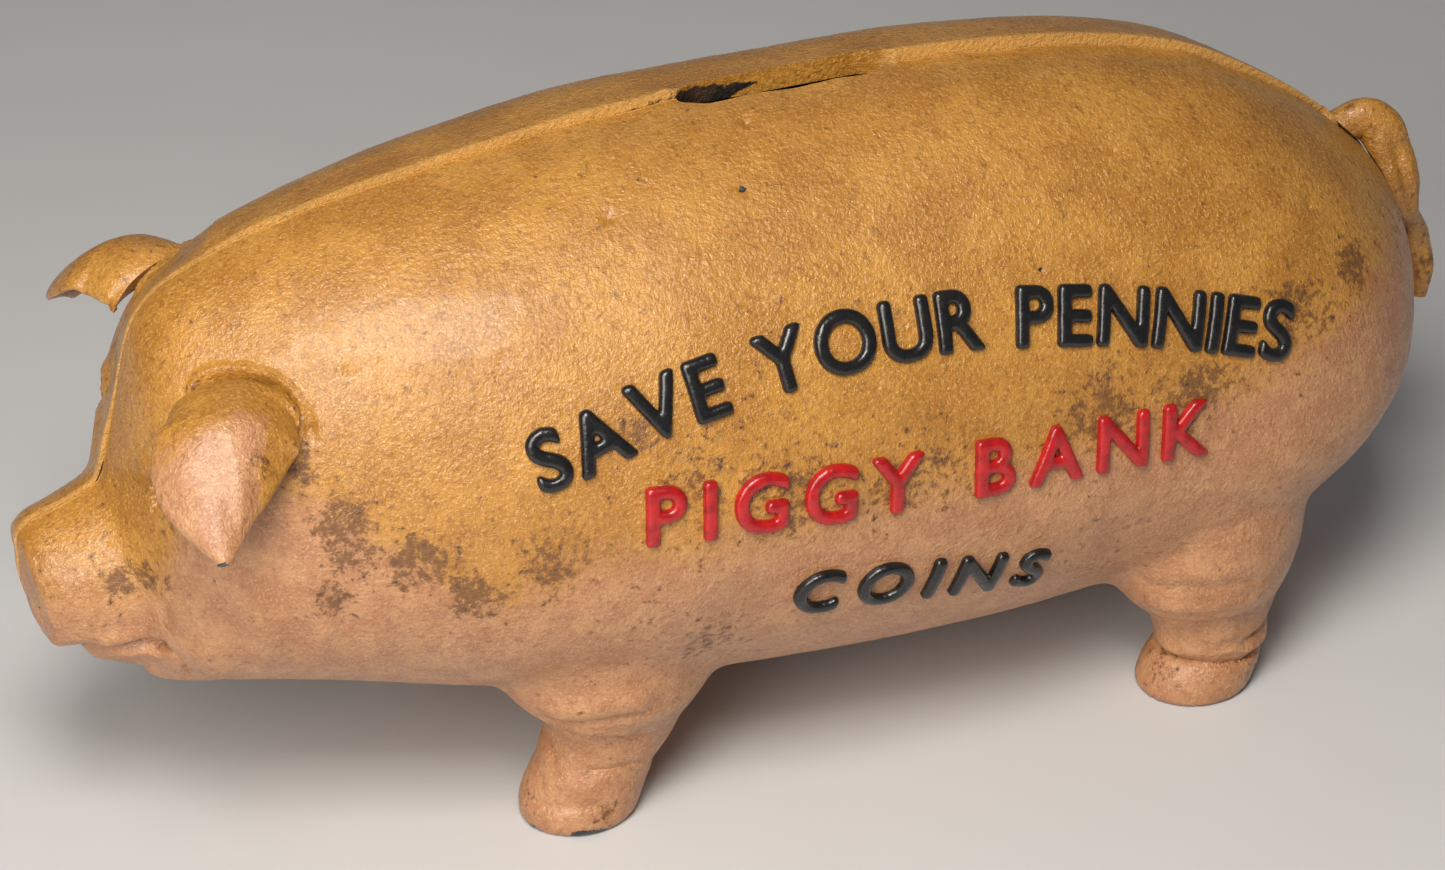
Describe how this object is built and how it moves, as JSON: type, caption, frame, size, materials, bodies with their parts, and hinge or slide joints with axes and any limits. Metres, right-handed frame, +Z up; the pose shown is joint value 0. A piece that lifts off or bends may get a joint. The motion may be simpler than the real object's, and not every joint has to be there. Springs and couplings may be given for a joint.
{
  "type": "coin bank",
  "caption": "Cast iron still bank shaped as a standing pig: hollow halves held by long screws, a coin slot along the back, separately cast ears and curled tail.",
  "frame": {"origin": "on the floor, in the middle of the bounding box", "axes": "+Z up, the pig faces -X, its left flank faces -Y and the halves meet on the plane Y = 0"},
  "size_m": [0.3133, 0.121, 0.142],
  "materials": {
    "painted_iron": "tan enamel paint, worn",
    "screw_steel": "dull, age-darkened"
  },
  "bodies": {
    "left_side": {"left_half": "painted_iron", "left_ear": "painted_iron", "tail": "painted_iron"},
    "right_side": {"right_half": "painted_iron", "right_ear": "painted_iron"},
    "front_fixing": {"front_screw": "screw_steel"},
    "rear_fixing": {"rear_screw": "screw_steel"}
  },
  "joints": [
    {"name": "halves_part", "type": "slide", "parent": "left_side", "child": "right_side", "axis": [0, 1, 0], "range_m": [0, 0.1]},
    {"name": "front_screw_out", "type": "slide", "parent": "right_side", "child": "front_fixing", "axis": [0, 1, 0], "range_m": [0, 0.085]},
    {"name": "rear_screw_out", "type": "slide", "parent": "right_side", "child": "rear_fixing", "axis": [0, 1, 0], "range_m": [0, 0.085]}
  ]
}
